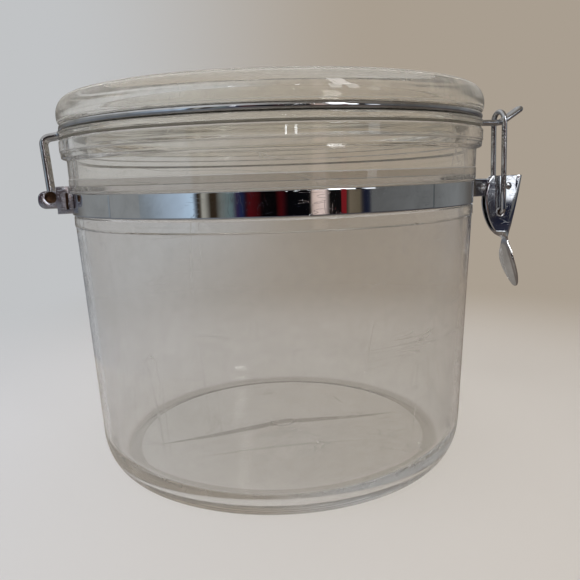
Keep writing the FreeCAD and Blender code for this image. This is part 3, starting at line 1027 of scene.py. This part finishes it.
def hole_lip(side):
    """Raised lip round the bail's hole in the cheek."""
    lip = [(2.75, 2.4), (2.75, 2.68), (2.6, 2.88), (2.3, 2.98), (2.0, 2.92), (1.8, 2.7), (1.7, 2.4)]
    return turned_y("lip", lip, 130.0, 114.2, side, stamped_metal)


def hole_shadow(side):
    """Painted shade at the bottom of the bail's hole, round the wire."""
    ring = [(1.95, 2.5), (1.95, 2.84), (1.3, 2.8), (1.3, 2.5)]
    return turned_y("shadow", ring, 130.0, 114.2, side, rust_and_shade_metal)


lever = joined("lever_folded", [lever_sheet(), hole_lip(-1), hole_lip(1)])
hand_over(lever, "lever", "band", "lever")
# Dark rings that paint the shade inside the bail's holes.
hole_shadows = joined("lever_hole_shadows", [hole_shadow(-1), hole_shadow(1)])
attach(hole_shadows, "lever")


# ---------------------------------------------------------------- floor, light, camera

def mirror_ray(n):
    """1 where a polished surface reflects this, 0 where it is seen directly or through plastic."""
    path = n.add("ShaderNodeLightPath")
    return n.math("MULTIPLY", path.outputs["Is Glossy Ray"],
                  n.math("SUBTRACT", 1.0, path.outputs["Is Transmission Ray"]))


def across_stage(n, place, cool_end, warm_end):
    """0 to 1 across the stage, from its cool side to its warm side."""
    sep = n.add("ShaderNodeSeparateXYZ")
    n.link(place, sep.inputs[0])
    x = n.math("MULTIPLY", sep.outputs[0], 0.963)
    y = n.math("MULTIPLY", sep.outputs[1], -0.270)
    return n.step(n.math("ADD", x, y), cool_end, warm_end)


def stage_floor():
    """Pale floor that melts into the backdrop colour with distance."""
    material, n = new_material("studio_floor")
    place = n.add("ShaderNodeTexCoord").outputs["Object"]
    paint = n.add("ShaderNodeBsdfPrincipled")
    paint.inputs["Roughness"].default_value = 0.75
    paint.inputs["Specular IOR Level"].default_value = 0.2
    grain = n.noise(place, 3.0, 4.0)
    # Painted light falloff: the floor runs from cool and lighter on the left to warm and darker on the right.
    slope = across_stage(n, place, -0.30, 0.12)
    tone = n.mix(slope, FLOOR_LEFT, FLOOR_RIGHT)
    tone = n.mix(n.math("MULTIPLY", grain, 0.06), tone, (1.0, 1.0, 1.0))
    n.link(tone, paint.inputs["Base Color"])
    # Far off, the floor glows in the backdrop colour instead of being lit, with the same painted falloff.
    far = n.add("ShaderNodeEmission")
    n.link(n.mix(slope, BACKDROP_LEFT, BACKDROP_RIGHT), far.inputs["Color"])
    reach = n.add("ShaderNodeVectorMath", operation="LENGTH")
    n.link(place, reach.inputs[0])
    both = n.add("ShaderNodeMixShader")
    n.link(n.step(reach.outputs["Value"], 0.12, 0.48), both.inputs[0])
    n.link(paint.outputs[0], both.inputs[1])
    n.link(far.outputs[0], both.inputs[2])
    # Painted reflection: to polished surfaces the floor glows in darker tones, darkest far off on the right,
    # with a lighter patch within about 230 mm of the centre.
    dark = n.add("ShaderNodeEmission")
    right_dark = n.mix(n.step(reach.outputs["Value"], 0.5, 0.9), linear(116, 106, 98), linear(46, 48, 62))
    away = n.mix(slope, linear(122, 126, 132), right_dark)
    sep = n.add("ShaderNodeSeparateXYZ")
    n.link(place, sep.inputs[0])
    table = n.math("MULTIPLY", n.step(reach.outputs["Value"], 0.215, 0.245, 1.0, 0.0),
                   n.step(sep.outputs[0], 0.100, 0.112, 1.0, 0.0))
    n.link(n.mix(table, away, linear(158, 152, 144)), dark.inputs["Color"])
    whole = n.add("ShaderNodeMixShader")
    n.link(mirror_ray(n), whole.inputs[0])
    n.link(both.outputs[0], whole.inputs[1])
    n.link(dark.outputs[0], whole.inputs[2])
    n.link(whole.outputs[0], n.add("ShaderNodeOutputMaterial").inputs[0])
    verts = [(0, 0, 0)]
    faces = []
    radii = (150, 300, 600, 1000, 1450)
    for radius in radii:
        for angle in even_angles(96):
            verts.append((radius * math.cos(angle), radius * math.sin(angle), 0))
    for i in range(len(radii)):
        for k in range(96):
            m = (k + 1) % 96
            outer = 1 + i * 96
            if i == 0:
                faces.append((0, outer + k, outer + m))
            else:
                inner = outer - 96
                faces.append((inner + k, outer + k, outer + m, inner + m))
    floor = mesh_piece("studio_floor", verts, faces, material)
    floor.location.z = -0.0002


def room():
    """Plain backdrop for what is seen, and a room with a window for what metal reflects."""
    world = bpy.data.worlds.new("studio")
    world.use_nodes = True
    scene.world = world
    n = Nodes(world.node_tree)
    place = n.add("ShaderNodeTexCoord").outputs["Generated"]
    sep = n.add("ShaderNodeSeparateXYZ")
    n.link(place, sep.inputs[0])
    turn = n.math("DIVIDE", n.math("ARCTAN2", sep.outputs[1], sep.outputs[0]), 2 * math.pi)
    turn = n.math("ADD", turn, 0.5)
    walls = n.add("ShaderNodeValToRGB")
    ramp = walls.color_ramp
    stops = ROOM_STOPS
    while len(ramp.elements) > 1:
        ramp.elements.remove(ramp.elements[0])
    for i, (degrees, colour) in enumerate(stops):
        where = (degrees + 180) / 360
        element = ramp.elements[0] if i == 0 else ramp.elements.new(where)
        element.position = where
        element.color = (*[c * ROOM_GAIN for c in linear(*colour)], 1)
    n.link(turn, walls.inputs[0])
    ceiling = n.mix(across_stage(n, place, -0.35, 0.45), linear(224, 225, 226), linear(128, 119, 108))
    level = n.mix(n.step(sep.outputs[2], 0.30, 0.60), walls.outputs[0], ceiling)
    ahead = n.math("ADD", n.math("MULTIPLY", sep.outputs[0], 0.270), n.math("MULTIPLY", sep.outputs[1], 0.963))
    behind = n.mix(n.step(sep.outputs[2], 0.06, 0.30), linear(92, 88, 84), linear(190, 187, 181))
    level = n.mix(n.step(ahead, 0.45, 0.85), level, behind)
    for left, right, bottom, top, power, colour in ROOM_WINDOWS:
        across = n.math("MULTIPLY", n.step(turn, (left + 180) / 360, (left + 180.25) / 360),
                        n.step(turn, (right + 179.75) / 360, (right + 180) / 360, 1.0, 0.0))
        upward = n.math("MULTIPLY", n.step(sep.outputs[2], bottom, bottom + 0.012),
                        n.step(sep.outputs[2], top - 0.012, top, 1.0, 0.0))
        glow = [c * power for c in linear(*colour)]
        level = n.mix(n.math("MULTIPLY", across, upward), level, glow)
    room_light = n.add("ShaderNodeBackground")
    n.link(level, room_light.inputs[0])
    plain = n.add("ShaderNodeBackground")
    # Painted light falloff across the plain backdrop.
    n.link(n.mix(across_stage(n, place, -0.35, 0.15), BACKDROP_LEFT, BACKDROP_RIGHT), plain.inputs[0])
    both = n.add("ShaderNodeMixShader")
    n.link(mirror_ray(n), both.inputs[0])
    n.link(plain.outputs[0], both.inputs[1])
    n.link(room_light.outputs[0], both.inputs[2])
    n.link(both.outputs[0], n.add("ShaderNodeOutputWorld").inputs[0])


def area_light(name, place, target, size, power, colour):
    data = bpy.data.lights.new(name, "AREA")
    data.shape = "RECTANGLE"
    data.size, data.size_y = size
    data.energy = power
    data.color = colour
    light = bpy.data.objects.new(name, data)
    light.location = place
    aim = Vector(target) - Vector(place)
    light.rotation_euler = aim.to_track_quat("-Z", "Y").to_euler()
    scene.collection.objects.link(light)
    return light


# Floor and backdrop tones, cool and lighter on the left, warm and darker on the right: painted light falloff.
BACKDROP_LEFT = linear(193, 195, 197)
BACKDROP_RIGHT = linear(169, 158, 144)
FLOOR_LEFT = linear(220, 224, 232)
FLOOR_RIGHT = linear(216, 212, 208)
ROOM_GAIN = 1.5
ROOM_STOPS = [
    (-179.9, (114, 120, 124)), (-154, (156, 172, 188)),
    (-147.5, (166, 186, 204)), (-145.8, (32, 24, 18)), (-143.5, (52, 44, 36)),
    (-142.6, (150, 148, 138)), (-139.8, (136, 134, 126)), (-138.6, (40, 32, 22)),
    (-134.5, (46, 36, 26)), (-133.0, (100, 102, 98)), (-127.0, (86, 104, 106)),
    (-124.6, (44, 26, 52)), (-121.5, (20, 36, 66)), (-119.6, (26, 14, 20)),
    (-117.8, (66, 10, 14)), (-112.8, (46, 6, 8)), (-111.0, (4, 3, 4)),
    (-103.5, (4, 3, 4)), (-102.0, (56, 8, 10)), (-99.6, (40, 8, 12)),
    (-98.0, (4, 4, 6)), (-85.8, (6, 6, 8)), (-84.2, (206, 184, 172)),
    (-78.2, (214, 194, 186)), (-76.8, (8, 8, 8)), (-66.6, (14, 12, 12)),
    (-65.2, (98, 88, 74)), (-58.6, (84, 76, 62)), (-57.4, (20, 22, 36)), (-53.6, (26, 30, 44)),
    (-52.4, (86, 86, 85)),
    (60.0, (124, 126, 126)),
]

# What stands out in the room: azimuth from and to in degrees, height from and to, brightness, colour.
COOL = (246, 250, 255)
ROOM_WINDOWS = [
    (-66, -57, 0.0, 0.34, 1.0, (20, 22, 34)),
    (-76, -61, 0.050, 0.066, 9.0, COOL), (-76, -61, 0.12, 0.38, 5.5, COOL),
    (-130, -125, 0.055, 0.066, 12.0, COOL), (-129, -126.5, 0.072, 0.080, 8.0, COOL),
    (-98.4, -97.2, 0.052, 0.083, 15.0, COOL), (-93.8, -92.2, 0.056, 0.083, 13.0, COOL),
    (-125, -122, 0.30, 0.36, 12.0, COOL), (-93, -90, 0.32, 0.37, 12.0, COOL),
    (-57.4, -56.4, 0.110, 0.20, 1.8, COOL), (-56.6, -55.6, 0.050, 0.20, 1.8, COOL),
    (-55.8, -50, -0.012, 0.20, 1.8, COOL),
    (-69.8, -66.6, -0.15, 0.30, 1.5, (104, 24, 28)),
]


def camera():
    data = bpy.data.cameras.new("camera")
    data.lens = 38.91
    data.sensor_width = 36.0
    data.dof.use_dof = False
    eye = bpy.data.objects.new("camera", data)
    yaw, pitch, roll = math.radians(15.65), 0.1808, -0.0316
    ahead = Vector((math.sin(yaw) * math.cos(pitch), math.cos(yaw) * math.cos(pitch), -math.sin(pitch)))
    up = Vector((math.sin(yaw) * math.sin(pitch), math.cos(yaw) * math.sin(pitch), math.cos(pitch)))
    right = Vector((math.cos(yaw), -math.sin(yaw), 0))
    side = right * math.cos(roll) + up * math.sin(roll)
    top = up * math.cos(roll) - right * math.sin(roll)
    place = (-0.0803, -0.3104, 0.1380)
    rows = [(side[i], top[i], -ahead[i], place[i]) for i in range(3)]
    eye.matrix_world = Matrix(rows + [(0, 0, 0, 1)])
    scene.collection.objects.link(eye)
    scene.camera = eye


stage_floor()
room()
camera()
key = area_light("soft_key", (-0.9, -0.55, 1.25), (0, 0, 0.08), (1.3, 1.3), 11.0, (1.0, 1.0, 1.0))
key.visible_glossy = False
key.visible_transmission = False
fill = area_light("soft_fill", (0.9, 0.7, 1.1), (0, 0, 0.05), (1.1, 0.8), 5.0, (1.0, 0.98, 0.95))
fill.visible_glossy = False
fill.visible_transmission = False
area_light("window_high", (0.48, -1.32, 0.95), (0, 0, 0.16), (0.22, 0.62), 3.5, (0.97, 0.98, 1.0))

scene.view_settings.view_transform = "Standard"
scene.view_settings.look = "None"
scene.cycles.max_bounces = 24
scene.cycles.transmission_bounces = 24
scene.cycles.glossy_bounces = 24
scene.cycles.transparent_max_bounces = 24
scene.cycles.caustics_reflective = False
scene.cycles.caustics_refractive = True
